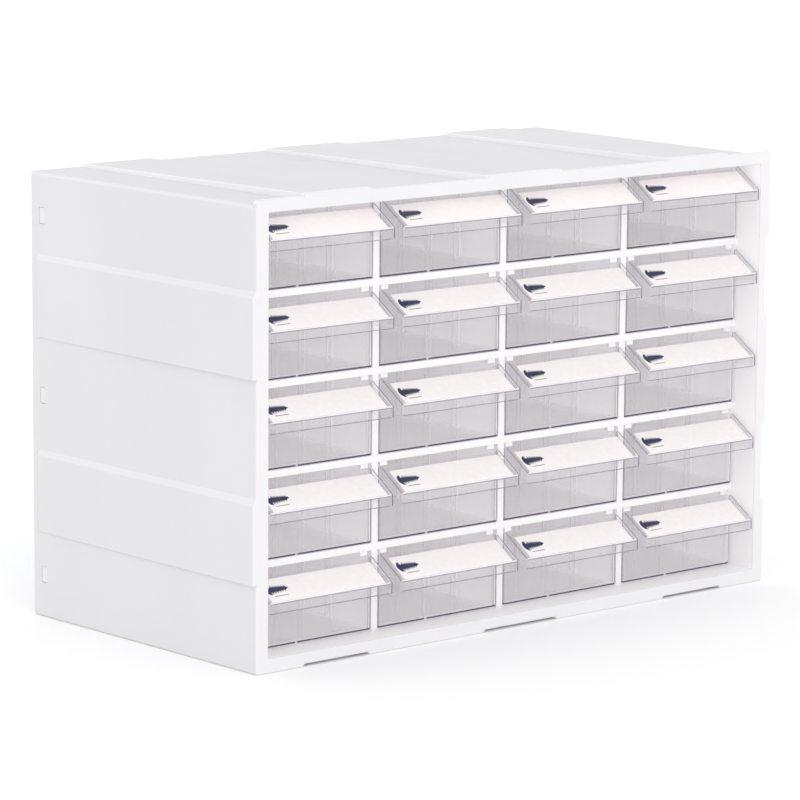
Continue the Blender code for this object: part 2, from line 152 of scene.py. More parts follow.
HOOK_REACH = 3.05 * MM
# Bounds of the painted light on the shell: brighter, glowing plastic in the mouth and behind the bars,
# and painted highlights along the front edge and the rim top.
DEEP_SIDES = (BAYS_LEFT - 8.0 * MM, BAYS_RIGHT + 5.0 * MM)
DEEP_HEIGHTS = (3.0 * MM, PANEL_TOP - 1.5 * MM)
FRONT_EDGE = 1.25 * MM
RIM_DEPTH = 4.5 * MM
SHARP_ANGLE = math.radians(36.0)
NOISE_LOW = 0.3
NOISE_HIGH = 0.7
MIRROR_HEAD_ON = 0.04
MIRROR_EDGE_ON = 0.7


# ---------------------------------------------------------------- mesh helpers


def to_object(name, shape, materials, smooth=True):
    """An object from a shape. smooth shades it smooth between its sharp edges."""
    mesh = bpy.data.meshes.new(name)
    shape.to_mesh(mesh)
    shape.free()
    for material in materials:
        mesh.materials.append(material)
    item = bpy.data.objects.new(name, mesh)
    bpy.context.scene.collection.objects.link(item)
    if smooth:
        mesh.shade_smooth()
        mesh.set_sharp_from_angle(angle=SHARP_ANGLE)
        modifier = item.modifiers.new("weighted_normals", "WEIGHTED_NORMAL")
        modifier.keep_sharp = True
    return item


def loft(rings):
    """A closed form through rings of equally many points, with a flat cap on both ends."""
    shape = bmesh.new()
    rows = [[shape.verts.new(point) for point in ring] for ring in rings]
    count = len(rows[0])
    for first, second in zip(rows, rows[1:]):
        for index in range(count):
            after = (index + 1) % count
            shape.faces.new((first[index], first[after], second[after], second[index]))
    shape.faces.new(rows[0])
    shape.faces.new(list(reversed(rows[-1])))
    bmesh.ops.remove_doubles(shape, verts=shape.verts, dist=1e-6)
    bmesh.ops.dissolve_degenerate(shape, edges=shape.edges, dist=1e-6)
    bmesh.ops.recalc_face_normals(shape, faces=shape.faces)
    return shape


def rounded_rectangle(low_u, low_v, high_u, high_v, radius, steps=4):
    """Points round a rectangle with rounded corners, counter-clockwise."""
    points = []
    corners = (
        (high_u - radius, low_v + radius, -90.0),
        (high_u - radius, high_v - radius, 0.0),
        (low_u + radius, high_v - radius, 90.0),
        (low_u + radius, low_v + radius, 180.0),
    )
    for u, v, start in corners:
        for step in range(steps + 1):
            turn = math.radians(start + 90.0 * step / steps)
            points.append((u + radius * math.cos(turn), v + radius * math.sin(turn)))
    return points


def round_edges(shape, radius, steps):
    bmesh.ops.bevel(
        shape,
        geom=list(shape.edges),
        offset=radius,
        segments=steps,
        profile=0.5,
        affect="EDGES",
        clamp_overlap=True,
    )


def cut_across(shape, place, normal):
    """Divides every face that a plane crosses."""
    bmesh.ops.bisect_plane(
        shape,
        geom=list(shape.verts) + list(shape.edges) + list(shape.faces),
        plane_co=place,
        plane_no=normal,
    )


def soft_box(low, high, radius=0.4 * MM, steps=2):
    """A box with all its edges rounded."""
    low = Vector(low)
    high = Vector(high)
    shape = bmesh.new()
    size = Matrix.Diagonal((*(high - low), 1.0))
    bmesh.ops.create_cube(shape, size=1.0, matrix=Matrix.Translation((low + high) / 2) @ size)
    round_edges(shape, radius, steps)
    bmesh.ops.recalc_face_normals(shape, faces=shape.faces)
    return shape


def merged(name, base, added=(), removed=(), materials=()):
    """Joins shapes to a base shape and cuts others from it."""
    body = to_object(name, base, (), smooth=False)
    for operation, shapes in (("UNION", added), ("DIFFERENCE", removed)):
        if not shapes:
            continue
        tools = bpy.data.collections.new("tools")
        bpy.context.scene.collection.children.link(tools)
        for shape in shapes:
            mesh = bpy.data.meshes.new("tool")
            shape.to_mesh(mesh)
            shape.free()
            tools.objects.link(bpy.data.objects.new("tool", mesh))
        modifier = body.modifiers.new("joined", "BOOLEAN")
        modifier.operation = operation
        modifier.operand_type = "COLLECTION"
        modifier.collection = tools
        modifier.solver = "EXACT"
        bpy.context.view_layer.update()
        graph = bpy.context.evaluated_depsgraph_get()
        mesh = bpy.data.meshes.new_from_object(body.evaluated_get(graph))
        body.modifiers.clear()
        body.data = mesh
        for tool in list(tools.objects):
            bpy.data.objects.remove(tool, do_unlink=True)
        bpy.data.collections.remove(tools)
    shape = bmesh.new()
    shape.from_mesh(body.data)
    bpy.data.objects.remove(body, do_unlink=True)
    bmesh.ops.remove_doubles(shape, verts=shape.verts, dist=2e-6)
    bmesh.ops.dissolve_degenerate(shape, edges=shape.edges, dist=2e-6)
    return to_object(name, shape, materials)


# ---------------------------------------------------------------- materials


def new_material(name):
    material = bpy.data.materials.new(name)
    material.use_nodes = True
    tree = material.node_tree
    return material, tree, tree.nodes["Principled BSDF"]


def noise(tree, scale, detail=2.0, roughness=0.5, stretch=(1.0, 1.0, 1.0)):
    place = tree.nodes.new("ShaderNodeTexCoord")
    mapping = tree.nodes.new("ShaderNodeMapping")
    mapping.inputs["Scale"].default_value = stretch
    texture = tree.nodes.new("ShaderNodeTexNoise")
    texture.inputs["Scale"].default_value = scale
    texture.inputs["Detail"].default_value = detail
    texture.inputs["Roughness"].default_value = roughness
    tree.links.new(place.outputs["Object"], mapping.inputs["Vector"])
    tree.links.new(mapping.outputs["Vector"], texture.inputs["Vector"])
    return texture.outputs["Fac"]


def ramp(tree, value, low, high):
    spread = tree.nodes.new("ShaderNodeValToRGB")
    spread.color_ramp.elements[0].position = NOISE_LOW
    spread.color_ramp.elements[0].color = (*low, 1.0)
    spread.color_ramp.elements[1].position = NOISE_HIGH
    spread.color_ramp.elements[1].color = (*high, 1.0)
    tree.links.new(value, spread.inputs["Fac"])
    return spread.outputs["Color"]


def spread_value(tree, value, low, high):
    spread = tree.nodes.new("ShaderNodeMapRange")
    spread.inputs["From Min"].default_value = NOISE_LOW
    spread.inputs["From Max"].default_value = NOISE_HIGH
    spread.inputs["To Min"].default_value = low
    spread.inputs["To Max"].default_value = high
    tree.links.new(value, spread.inputs["Value"])
    return spread.outputs["Result"]


def add_bump(tree, shader, height, strength, distance):
    bump = tree.nodes.new("ShaderNodeBump")
    bump.inputs["Strength"].default_value = strength
    bump.inputs["Distance"].default_value = distance
    tree.links.new(height, bump.inputs["Height"])
    tree.links.new(bump.outputs["Normal"], shader.inputs["Normal"])


def moulded_plastic(name, dark, light, rough, grain, glow=0.0, specular=0.5):
    """Moulded plastic: faint flow streaks, uneven sheen and a fine grain.

    glow stands for the daylight that white thin walls pass on to the inside of the case.
    """
    material, tree, shader = new_material(name)
    streaks = noise(tree, 7.0, 3.0, 0.6, (3.0, 1.4, 0.5))
    tree.links.new(ramp(tree, streaks, dark, light), shader.inputs["Base Color"])
    sheen = noise(tree, 60.0, 3.0)
    tree.links.new(spread_value(tree, sheen, rough - 0.05, rough + 0.05), shader.inputs["Roughness"])
    shader.inputs["IOR"].default_value = 1.49
    shader.inputs["Specular IOR Level"].default_value = specular
    shader.inputs["Emission Color"].default_value = (1.0, 0.985, 0.995, 1.0)
    shader.inputs["Emission Strength"].default_value = glow
    add_bump(tree, shader, noise(tree, 1400.0, 2.0), grain, 0.00004)
    return material


def schlick(tree):
    """Share of light mirrored by a thin clear wall, the same from both of its sides."""
    facing = tree.nodes.new("ShaderNodeLayerWeight")
    facing.inputs["Blend"].default_value = 0.5
    power = tree.nodes.new("ShaderNodeMath")
    power.operation = "POWER"
    power.inputs[1].default_value = 5.0
    tree.links.new(facing.outputs["Facing"], power.inputs[0])
    share = tree.nodes.new("ShaderNodeMath")
    share.operation = "MULTIPLY_ADD"
    share.inputs[1].default_value = MIRROR_EDGE_ON
    share.inputs[2].default_value = MIRROR_HEAD_ON
    tree.links.new(power.outputs["Value"], share.inputs[0])
    return share.outputs["Value"]


def clear_plastic(name, tint, body, haze, rough):
    """Thin clear polystyrene: it passes light with a tint, scatters a little and mirrors at its skin."""
    material, tree, shader = new_material(name)
    tree.nodes.remove(shader)
    through = tree.nodes.new("ShaderNodeBsdfTransparent")
    through.inputs["Color"].default_value = (*tint, 1.0)
    scatter = tree.nodes.new("ShaderNodeBsdfDiffuse")
    scatter.inputs["Color"].default_value = (*body, 1.0)
    mirror = tree.nodes.new("ShaderNodeBsdfGlossy")
    mirror.inputs["Roughness"].default_value = rough
    add_bump(tree, mirror, noise(tree, 45.0, 2.0), 0.06, 0.0004)
    cloud = spread_value(tree, noise(tree, 14.0, 3.0), haze * 0.85, haze * 1.15)
    inside = tree.nodes.new("ShaderNodeMixShader")
    tree.links.new(cloud, inside.inputs["Fac"])
    tree.links.new(through.outputs["BSDF"], inside.inputs[1])
    tree.links.new(scatter.outputs["BSDF"], inside.inputs[2])
    skin = tree.nodes.new("ShaderNodeMixShader")
    tree.links.new(schlick(tree), skin.inputs["Fac"])
    tree.links.new(inside.outputs["Shader"], skin.inputs[1])
    tree.links.new(mirror.outputs["BSDF"], skin.inputs[2])
    tree.links.new(skin.outputs["Shader"], tree.nodes["Material Output"].inputs["Surface"])
    return material


def card_paper(name):
    material, tree, shader = new_material(name)
    fibres = noise(tree, 260.0, 4.0, 0.6)
    tree.links.new(
        ramp(tree, fibres, (0.86, 0.82, 0.81), (0.91, 0.87, 0.86)),
        shader.inputs["Base Color"],
    )
    shader.inputs["Roughness"].default_value = 0.75
    add_bump(tree, shader, noise(tree, 1800.0, 3.0), 0.15, 0.00003)
    return material


def printed_ink(name):
    material, tree, shader = new_material(name)
    mottle = noise(tree, 900.0, 2.0)
    tree.links.new(
        ramp(tree, mottle, (0.012, 0.014, 0.055), (0.02, 0.022, 0.075)),
        shader.inputs["Base Color"],
    )
    shader.inputs["Roughness"].default_value = 0.45
    return material


# ---------------------------------------------------------------- case shell


def filleted(corners, steps=4):
    """A closed outline with each (x, z, radius) corner rounded. Each corner gives steps + 1 points."""
    points = []
    count = len(corners)
    for index, (x, z, radius) in enumerate(corners):
        here = Vector((x, z))
        before = Vector(corners[index - 1][:2])
        after = Vector(corners[(index + 1) % count][:2])
        inward = here - before
        outward = after - here
        turn = inward.angle(outward)
        reach = radius * math.tan(turn / 2)
        reach = min(reach, 0.45 * inward.length, 0.45 * outward.length)
        start = here - inward.normalized() * reach
        end = here + outward.normalized() * reach
        for step in range(steps + 1):
            t = step / steps
            points.append(start * (1 - t) ** 2 + here * (2 * t * (1 - t)) + end * t**2)
    return points


def inset_corners(corners, amount):
    """The outline moved inwards: outer corners get tighter and inner corners get wider."""
    moved = []
    count = len(corners)
    for index, (x, z, radius) in enumerate(corners):
        here = Vector((x, z))
        first = (here - Vector(corners[index - 1][:2])).normalized()
        second = (Vector(corners[(index + 1) % count][:2]) - here).normalized()
        normal = Vector((-first.y, first.x)) + Vector((-second.y, second.x))
        normal.normalize()
        miter = amount / normal.dot(Vector((-first.y, first.x)))
        point = here + normal * miter
        outer = first.x * second.y - first.y * second.x > 0
        change = -amount if outer else amount
        moved.append((point.x, point.y, max(radius + change, 0.08 * MM)))
    return moved


def shell_outline(top, tab_top, band_rise):
    corners = [(CASE_LEFT, 0.0, 2.0 * MM)]
    for low, high in TABS:
        low -= 0.5 * MM
        high += 0.5 * MM
        corners.append((low, 0.0, 0.5 * MM))
        corners.append((low + 1.2 * MM, 1.7 * MM, 0.5 * MM))
        corners.append((high - 1.2 * MM, 1.7 * MM, 0.5 * MM))
        corners.append((high, 0.0, 0.5 * MM))
    corners.append((CASE_RIGHT, 0.0, 2.0 * MM))
    for low, high in SIDE_BANDS:
        corners.append((CASE_RIGHT, low - 0.6 * MM, 0.8 * MM))
        corners.append((CASE_RIGHT - RECESS, low + 2.2 * MM, 0.8 * MM))
        corners.append((CASE_RIGHT - RECESS, high - 2.2 * MM, 0.8 * MM))
        corners.append((CASE_RIGHT, high + 0.6 * MM, 0.8 * MM))
    corners.append((CASE_RIGHT, top, 2.2 * MM))
    for low, high in reversed(TABS):
        corners.append((high, top, 0.3 * MM))
        corners.append((high - 0.2 * MM, tab_top, 0.8 * MM))
        corners.append((low + 0.2 * MM, tab_top, 0.8 * MM))
        corners.append((low, top, 0.3 * MM))
    corners.append((CASE_LEFT, top, 2.2 * MM))
    for low, high in reversed(SIDE_BANDS):
        corners.append((CASE_LEFT, high + 0.3 * MM, 1.5 * MM))
        corners.append((CASE_LEFT - band_rise, high - 3.2 * MM, 2.0 * MM))
        corners.append((CASE_LEFT - band_rise, low, 0.4 * MM))
        corners.append((CASE_LEFT, low, 0.2 * MM))
    return corners


def shell_levels():
    """(depth, inset, height of the top panel, share of the bands' rise) from front to rear."""
    levels = []
    soft = 1.3 * MM
    for step in range(5):
        turn = math.radians(22.5 * step)
        levels.append((soft * (1 - math.cos(turn)), soft * (1 - math.sin(turn)), RIM_TOP, 1.0))
    levels.append((3.2 * MM, 0.0, RIM_TOP, 1.0))
    levels.append((3.75 * MM, 0.0, RIM_TOP - 0.15 * MM, 1.0))
    levels.append((4.0 * MM, 0.0, RIM_TOP - 0.6 * MM, 1.0))
    levels.append((4.05 * MM, 0.0, PANEL_TOP - 0.5 * MM, 1.0))
    levels.append((4.9 * MM, 0.0, PANEL_TOP - 0.5 * MM, 1.0))
    levels.append((5.2 * MM, 0.0, PANEL_TOP - 0.1 * MM, 1.0))
    levels.append((5.7 * MM, 0.0, PANEL_TOP, 1.0))
    for depth in (60.0, 120.0, 180.0):
        levels.append((depth * MM, 0.0, PANEL_TOP, 1.0))
    levels.append((BANDS_END - 1.6 * MM, 0.0, PANEL_TOP, 1.0))
    levels.append((BANDS_END - 0.9 * MM, 0.0, PANEL_TOP, 0.93))
    levels.append((BANDS_END - 0.3 * MM, 0.0, PANEL_TOP, 0.62))
    levels.append((BANDS_END, 0.0, PANEL_TOP, 0.02))
    soft = 0.9 * MM
    length = REAR - FRONT
    for step in range(4):
        turn = math.radians(30.0 * step)
        levels.append(
            (length - soft * (1 - math.sin(turn)), soft * (1 - math.cos(turn)), PANEL_TOP, 0.02)
        )
    return levels


def shell_ring(depth, inset, top, share):
    along = depth / (REAR - FRONT)
    full = TAB_FRONT_TOP + (TAB_REAR_TOP - TAB_FRONT_TOP) * along
    tab_top = top + max((full - top) * share, 0.03 * MM)
    rise = max((BAND_FRONT + (BAND_REAR - BAND_FRONT) * along) * share, 0.03 * MM)
    outline = filleted(inset_corners(shell_outline(top, tab_top, rise), inset))
    return [(point.x, FRONT + depth, point.y) for point in outline]


def mouth_cutter():
    """The opening for the drawers, with a rounded front edge."""
    soft = 0.9 * MM
    rings = []
    steps = [(-5.0 * MM, soft)]
    for step in range(5):
        turn = math.radians(22.5 * step)
        steps.append((soft * (1 - math.cos(turn)), soft * (1 - math.sin(turn))))
    steps.append((LATTICE - FRONT + 0.2 * MM, 0.0))
    for depth, grow in steps:
        outline = rounded_rectangle(
            BAYS_LEFT - grow,
            BAYS_BOTTOM - grow,
            BAYS_RIGHT + grow,
            BAYS_TOP + grow,
            1.0 * MM + grow,
        )
        rings.append([(u, FRONT + depth, v) for u, v in outline])
    return loft(rings)


def shell_painted_light_slot(middle, normal):
    """Which material slot a face of the shell takes; every slot but 0 is painted light.

    0 is the outside, 1 a painted highlight on the top of the rim and the steps of the tabs, 2 the mouth
    painted brighter and glowing, 3 the walls behind the rack's bars painted brighter and glowing, and 4
    a painted highlight on the soft edges.
    """
    depth = middle.y - FRONT
    within = DEEP_SIDES[0] < middle.x < DEEP_SIDES[1]
    within = within and DEEP_HEIGHTS[0] < middle.z < DEEP_HEIGHTS[1]
    if within and LATTICE - 0.1 * MM < middle.y < REAR - 1.0 * MM:
        return 3
    if within and 1.0 * MM < depth < LATTICE - FRONT:
        return 2
    if depth < FRONT_EDGE:
        return 4
    on_tab_step = middle.z > PANEL_TOP + 0.3 * MM and abs(normal.z) < 0.9
    on_rim_top = depth < RIM_DEPTH and normal.z > 0.5 and middle.z > PANEL_TOP - 1.0 * MM
    on_top_edge = middle.z > PANEL_TOP - 2.3 * MM and 0.15 < normal.z < 0.97
    on_shoulder = abs(middle.x) > CASE_RIGHT - 3.2 * MM and 0.12 < normal.z < 0.97
    if on_tab_step or on_rim_top:
        return 1
    if on_top_edge or on_shoulder:
        return 4
    return 0


def paint_shell(shell):
    # Paints highlights and brighter, glowing copies of the plastic onto the shell, face by face.
    for face in shell.data.polygons:
        face.material_index = shell_painted_light_slot(face.center, face.normal)


def paint_deep(piece):
    """Everything behind the bars takes the deep walls' brighter, glowing copy of the plastic: painted
    light.
    """
    for face in piece.data.polygons:
        if face.center.y > BAR_REAR - 0.5 * MM:
            face.material_index = 1


def build_shell(slot_materials):
    body = loft([shell_ring(*level) for level in shell_levels()])
    room = soft_box(
        (CASE_LEFT + SKIN, LATTICE, 4.4 * MM),
        (CASE_RIGHT - RECESS - SKIN, REAR + 10.0 * MM, PANEL_TOP - SKIN + 0.2 * MM),
        0.5 * MM,
    )
    cuts = [mouth_cutter(), room]
    for middle in WINDOWS:
        for low_x, high_x in (
            (CASE_LEFT - 5.0 * MM, CASE_LEFT + SKIN - 0.2 * MM),
            (CASE_RIGHT - SKIN + 0.2 * MM, CASE_RIGHT + 5.0 * MM),
        ):
            cuts.append(
                soft_box(
                    (low_x, WINDOW_Y[0], middle - WINDOW_HALF),
                    (high_x, WINDOW_Y[1], middle + WINDOW_HALF),
                    0.5 * MM,
                )
            )
    shell = merged("moulded_shell", body, removed=cuts, materials=slot_materials)
    paint_shell(shell)
    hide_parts("case_shell")
    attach(shell, "case")


# ---------------------------------------------------------------- rack


def bay_edges():
    edges = [BAYS_LEFT]
    for low, high in UPRIGHTS:
        edges += [low.x, high.x]
    edges.append(BAYS_RIGHT)
    return list(zip(edges[0::2], edges[1::2]))


def stop_shapes(top):
    shapes = []
    for left, right in bay_edges():
        for low_x in (left + STOP_INSET, right - STOP_INSET - STOP_WIDTH):
            shapes.append(
                soft_box(
                    (low_x, LATTICE + 1.2 * MM, top - STOP_DROP),
                    (low_x + STOP_WIDTH, BAR_REAR - 0.3 * MM, top + 0.6 * MM),
                    0.35 * MM,
                )
            )
    return shapes


def add_rack_piece(piece, node):
    paint_deep(piece)
    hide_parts(node)
    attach(piece, "case")


def build_shelf(row, slot_materials):
    top = SHELVES[row - 1][1].z
    plate = soft_box(
        (BAYS_LEFT - 0.4 * MM, LATTICE + 2.0 * MM, top - PLATE),
        (BAYS_RIGHT + 0.4 * MM, RACK_REAR, top - 0.02 * MM),
        0.3 * MM,
    )
    bars = []
    for left, right in bay_edges():
        bars.append(
            soft_box(
                (left - 0.9 * MM, LATTICE + 0.05 * MM, top - BAR_DROP),
                (right + 0.9 * MM, BAR_REAR, top),
                0.45 * MM,
                3,
            )
        )
    bars += stop_shapes(top - BAR_DROP)
    piece = merged(f"moulded_shelf_{row}", plate, added=bars, materials=slot_materials)
    add_rack_piece(piece, f"shelf_{row}")


def build_upright(number, slot_materials):
    low, high = UPRIGHTS[number - 1]
    middle = (low.x + high.x) / 2
    plate = soft_box(
        (middle - PLATE / 2, LATTICE + 2.0 * MM, BAYS_BOTTOM - 0.4 * MM),
        (middle + PLATE / 2, RACK_REAR, BAYS_TOP + 0.4 * MM),
        0.3 * MM,
    )
    bar = soft_box(
        (low.x, LATTICE, BAYS_BOTTOM - 1.0 * MM),
        (high.x, BAR_REAR, BAYS_TOP + 1.0 * MM),
        0.45 * MM,
        3,
    )
    piece = merged(f"moulded_upright_{number}", plate, added=[bar], materials=slot_materials)
    add_rack_piece(piece, f"upright_{number}")


def build_rack(slot_materials):
    for row in range(1, ROWS):
        build_shelf(row, slot_materials)
    for number in range(1, COLUMNS):
        build_upright(number, slot_materials)
    for name, (low, high) in (("left", LEFT_PANEL), ("right", RIGHT_PANEL)):
        shape = soft_box(
            (low.x, LATTICE + 0.02 * MM, low.z),
            (high.x, high.y, high.z + 0.3 * MM),
            0.05 * MM,
            1,
        )
        piece = to_object(f"moulded_side_panel_{name}", shape, slot_materials)
        add_rack_piece(piece, f"side_panel_{name}")
    low, high = BASE_SHELF
    plate = soft_box(
        (BAYS_LEFT - 0.4 * MM, LATTICE + 0.02 * MM, high.z - PLATE),
        (BAYS_RIGHT + 0.4 * MM, high.y, high.z - 0.01 * MM),
        0.05 * MM,
        1,
    )
    ribs = []
    for index in range(5):
        middle = low.x + 4.0 * MM + index * (high.x - low.x - 8.0 * MM) / 4
        ribs.append(
            soft_box(
                (middle - 1.0 * MM, LATTICE + 2.3 * MM, low.z),
                (middle + 1.0 * MM, high.y - 2.0 * MM, high.z - 1.0 * MM),
                0.3 * MM,
            )
        )
    piece = merged("moulded_base_shelf", plate, added=ribs, materials=slot_materials)
    add_rack_piece(piece, "base_shelf")
    low, high = STOP_RAIL
    rail = soft_box(
        (BAYS_LEFT - 0.2 * MM, LATTICE + 0.02 * MM, BAYS_TOP + 0.01 * MM),
        (BAYS_RIGHT + 0.2 * MM, BAR_REAR, high.z + 0.25 * MM),
        0.1 * MM,
        1,
    )
    piece = merged("moulded_stop_rail", rail, added=stop_shapes(BAYS_TOP), materials=slot_materials)
    add_rack_piece(piece, "top_stop_rail")


# ---------------------------------------------------------------- back cover


def build_cover(slot_materials):
    """The clip-on back: a panel with a sunk field, and six hooks that fill the windows."""
    low, high = COVER
    left = CASE_LEFT + SKIN + COVER_GAP
    right = CASE_RIGHT - RECESS - SKIN - COVER_GAP
    bottom = 4.7 * MM
    top = PANEL_TOP - SKIN - 0.1 * MM
    panel_front = high.y - 2.6 * MM
    rings = []
    border = 9.0 * MM
    for depth, inset in (
        (panel_front, 0.0),
        (high.y - 0.6 * MM, 0.0),
        (high.y - 0.2 * MM, 0.2 * MM),
        (high.y, 0.7 * MM),
        (high.y, border),
        (high.y - 0.25 * MM, border + 0.5 * MM),
        (high.y - 0.7 * MM, border + 0.9 * MM),
    ):
        outline = rounded_rectangle(
            left + inset, bottom + inset, right - inset, top - inset, 1.6 * MM + 0.1 * inset
        )
        rings.append([(u, depth, v) for u, v in outline])
    panel = loft(rings)
    added = []
    for index in range(1, COLUMNS):
        middle = (UPRIGHTS[index - 1][0].x + UPRIGHTS[index - 1][1].x) / 2
        added.append(
            soft_box(
                (middle - 1.6 * MM, high.y - 1.4 * MM, bottom + border),
                (middle + 1.6 * MM, high.y - 0.15 * MM, top - border),
                0.5 * MM,
            )
        )
    for middle in WINDOWS:
        for face, side in ((left, 1), (CASE_RIGHT - SKIN - COVER_GAP, -1)):
            arm = sorted((face, face + side * 1.8 * MM))
            head = sorted((face - side * HOOK_REACH, face + side * 0.5 * MM))
            added.append(
                soft_box(
                    (arm[0], WINDOW_Y[0] + 0.9 * MM, middle - 4.6 * MM),
                    (arm[1], panel_front + 0.5 * MM, middle + 4.6 * MM),
                    0.3 * MM,
                )
            )
            added.append(
                soft_box(
                    (head[0], WINDOW_Y[0] + 0.15 * MM, middle - 5.15 * MM),
                    (head[1], WINDOW_Y[1] - 0.15 * MM, middle + 5.15 * MM),
                    0.6 * MM,
                    3,
                )
            )
        added.append(
            soft_box(
                (right - 8.0 * MM, panel_front, middle - 6.0 * MM),
                (CASE_RIGHT - SKIN - COVER_GAP, high.y - 0.4 * MM, middle + 6.0 * MM),
                0.3 * MM,
            )
        )
    piece = merged("moulded_back_cover", panel, added=added, materials=slot_materials)
    # Painted highlight: the hook heads and arms at the sides take the lighter copy of the plastic.
    for item in piece.data.polygons:
        if item.center.y < WINDOW_Y[1] and not left + 0.5 * MM < item.center.x < right - 0.5 * MM:
            item.material_index = 1
    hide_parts("back_cover")
    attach(piece, "case")


# ---------------------------------------------------------------- drawers


def pull_height(run):
    """Height of the pull's sloping face at a distance ahead of the drawer front."""
    return DRAWER_TOP - PULL_FALL * run / PULL_RUN


def tray_outline(z, side, front, rear, radius):
    outline = rounded_rectangle(
        -DRAWER_HALF + side, front, DRAWER_HALF - side, DRAWER_LENGTH - rear, radius
    )
    return [(u, v, z) for u, v in outline]


def tray_shapes():
    outer = loft(
        [
            tray_outline(DRAWER_LOW, 0.5 * MM, 0.35 * MM, 0.5 * MM, 0.6 * MM),
            tray_outline(DRAWER_LOW + 0.15 * MM, 0.15 * MM, 0.1 * MM, 0.15 * MM, 0.7 * MM),
            tray_outline(DRAWER_LOW + 0.5 * MM, 0.0, 0.0, 0.0, 0.8 * MM),
            tray_outline(DRAWER_TOP - 0.4 * MM, 0.0, 0.0, 0.0, 0.8 * MM),
            tray_outline(DRAWER_TOP - 0.1 * MM, 0.1 * MM, 0.1 * MM, 0.1 * MM, 0.7 * MM),
            tray_outline(DRAWER_TOP, 0.4 * MM, 0.4 * MM, 0.4 * MM, 0.5 * MM),
        ]
    )
    floor = TRAY_FLOOR
    inner = loft(
        [
            tray_outline(floor, 2.5 * MM, 3.0 * MM, 2.5 * MM, 0.6 * MM),
            tray_outline(floor + 0.3 * MM, 1.8 * MM, 2.3 * MM, 1.8 * MM, 0.9 * MM),
            tray_outline(floor + 1.0 * MM, TRAY_WALL, TRAY_FRONT, TRAY_WALL, 1.2 * MM),
            tray_outline(DRAWER_TOP + 5.0 * MM, TRAY_WALL, TRAY_FRONT, TRAY_WALL, 1.2 * MM),
        ]
    )
    return outer, inner


def profile_prism(profile, low_x, high_x, radius):
    """A prism across X with an outline of (y, z) points, its edges rounded."""
    shape = bmesh.new()
    first = [shape.verts.new((low_x, y, z)) for y, z in profile]
    second = [shape.verts.new((high_x, y, z)) for y, z in profile]
    count = len(profile)
    for index in range(count):
        after = (index + 1) % count
        shape.faces.new((first[index], first[after], second[after], second[index]))
    shape.faces.new(list(reversed(first)))
    shape.faces.new(second)
    bmesh.ops.recalc_face_normals(shape, faces=shape.faces)
    round_edges(shape, radius, 2)
    return shape


def pull_shapes():
    """Sloping plate, front lip, retaining ridge, and a gusset with a raised border at each end."""
    run = PULL_RUN
    wall = 1.6 * MM
    half = PULL_HALF
    border = PULL_BORDER
    low = pull_height(run) - PULL_LIP
    inside = 1.2 * MM
    plate = profile_prism(
        (
            (inside, DRAWER_TOP - 0.02 * MM),
            (0.0, DRAWER_TOP - 0.02 * MM),
            (-run + 0.3 * MM, pull_height(run - 0.3 * MM)),
            (-run + 0.3 * MM, pull_height(run - 0.3 * MM) - wall),
            (0.0, DRAWER_TOP - wall),
            (inside, DRAWER_TOP - wall),
        ),
        -half + 0.6 * MM,
        half - 0.6 * MM,
        0.08 * MM,
    )
    lip = profile_prism(
        (
            (-run, low),
            (-run + wall * 0.8, low),
            (-run + wall * 0.8, pull_height(run - wall * 0.8) - 0.5 * MM),
            (-run + 0.45 * MM, pull_height(run - 0.45 * MM) + 0.75 * MM),
            (-run, pull_height(run) + 0.75 * MM),
        ),
        -half + 0.3 * MM,
        half - 0.3 * MM,
        0.12 * MM,
    )
    shapes = [plate, lip]
    end = (
        (inside, DRAWER_TOP - 0.5 * MM),
        (-0.4 * MM, DRAWER_TOP - 0.05 * MM),
        (-1.2 * MM, pull_height(1.2 * MM) + 0.8 * MM),
        (-run, pull_height(run) + 0.8 * MM),
        (-run, low),
        (inside, low),
    )
    for low_x in (-half, half - border):
        shapes.append(profile_prism(end, low_x, low_x + border, 0.25 * MM))
    return shapes


def rib_shapes():
    shapes = []
    wall = DRAWER_HALF - TRAY_WALL
    for station in RIB_STATIONS:
        for shift in (-RIB_SHIFT, RIB_SHIFT):
            middle = (station + shift) * MM
            for side in (-1, 1):
                span = sorted((side * (wall - RIB_DEPTH), side * (wall + 0.4 * MM)))
                shapes.append(
                    soft_box(
                        (span[0], middle - RIB_HALF, TRAY_FLOOR - 0.4 * MM),
                        (span[1], middle + RIB_HALF, TRAY_FLOOR + RIB_HEIGHT),
                        0.25 * MM,
                    )
                )
    return shapes


def ear_shapes():
    shapes = []
    for side in (-1, 1):
        span = sorted((side * EAR_SPAN[0], side * EAR_SPAN[1]))
        shapes.append(
            soft_box(
                (span[0], DRAWER_LENGTH - EAR_LENGTH, EAR_HEIGHTS[0]),
                (span[1], DRAWER_LENGTH - 0.25 * MM, EAR_HEIGHTS[1]),
                0.4 * MM,
            )
        )
    return shapes


def front_painted_edge_slot(middle):
    """Front wall: painted shade at the foot and right side, then a painted highlight; grey shade at
    left.
    """
    if middle.z < DRAWER_LOW + EDGE_LINE:
        return 0 if EDGE_BREAK[0] < middle.x < EDGE_BREAK[1] else 1
    if middle.z > DRAWER_TOP - 4.2 * MM:
        return 0
    from_side = DRAWER_HALF - abs(middle.x)
    if from_side < SIDE_LINE:
        return 1 if middle.x > 0 else 2
    if from_side < 2 * SIDE_LINE and middle.x > 0:
        return 3
    return 0


